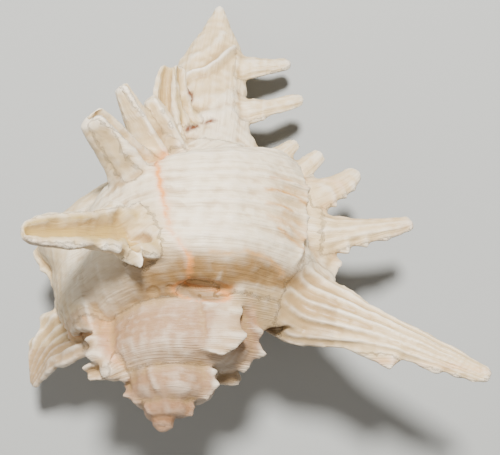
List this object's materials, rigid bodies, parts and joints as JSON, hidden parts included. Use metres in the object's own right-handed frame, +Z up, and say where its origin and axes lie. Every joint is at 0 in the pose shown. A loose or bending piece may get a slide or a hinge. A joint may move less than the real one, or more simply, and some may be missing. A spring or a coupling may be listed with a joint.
{
  "type": "murex shell",
  "caption": "Whitened branched murex shell: coiled body, stepped pointed spire, long flattened siphonal canal, and rows of hollow spines along its old lips.",
  "frame": {"origin": "bottom centre of the shell's bounding box, as it lies at rest on a table", "axes": "+Z up, +Y towards the tip of the siphonal canal, +X towards the last varix with the longest spine"},
  "size_m": [0.183, 0.1756, 0.1361],
  "materials": {
    "shell": "chalky satin, peach along the old lips"
  },
  "bodies": {
    "root": {"shell": "shell"}
  },
  "joints": []
}
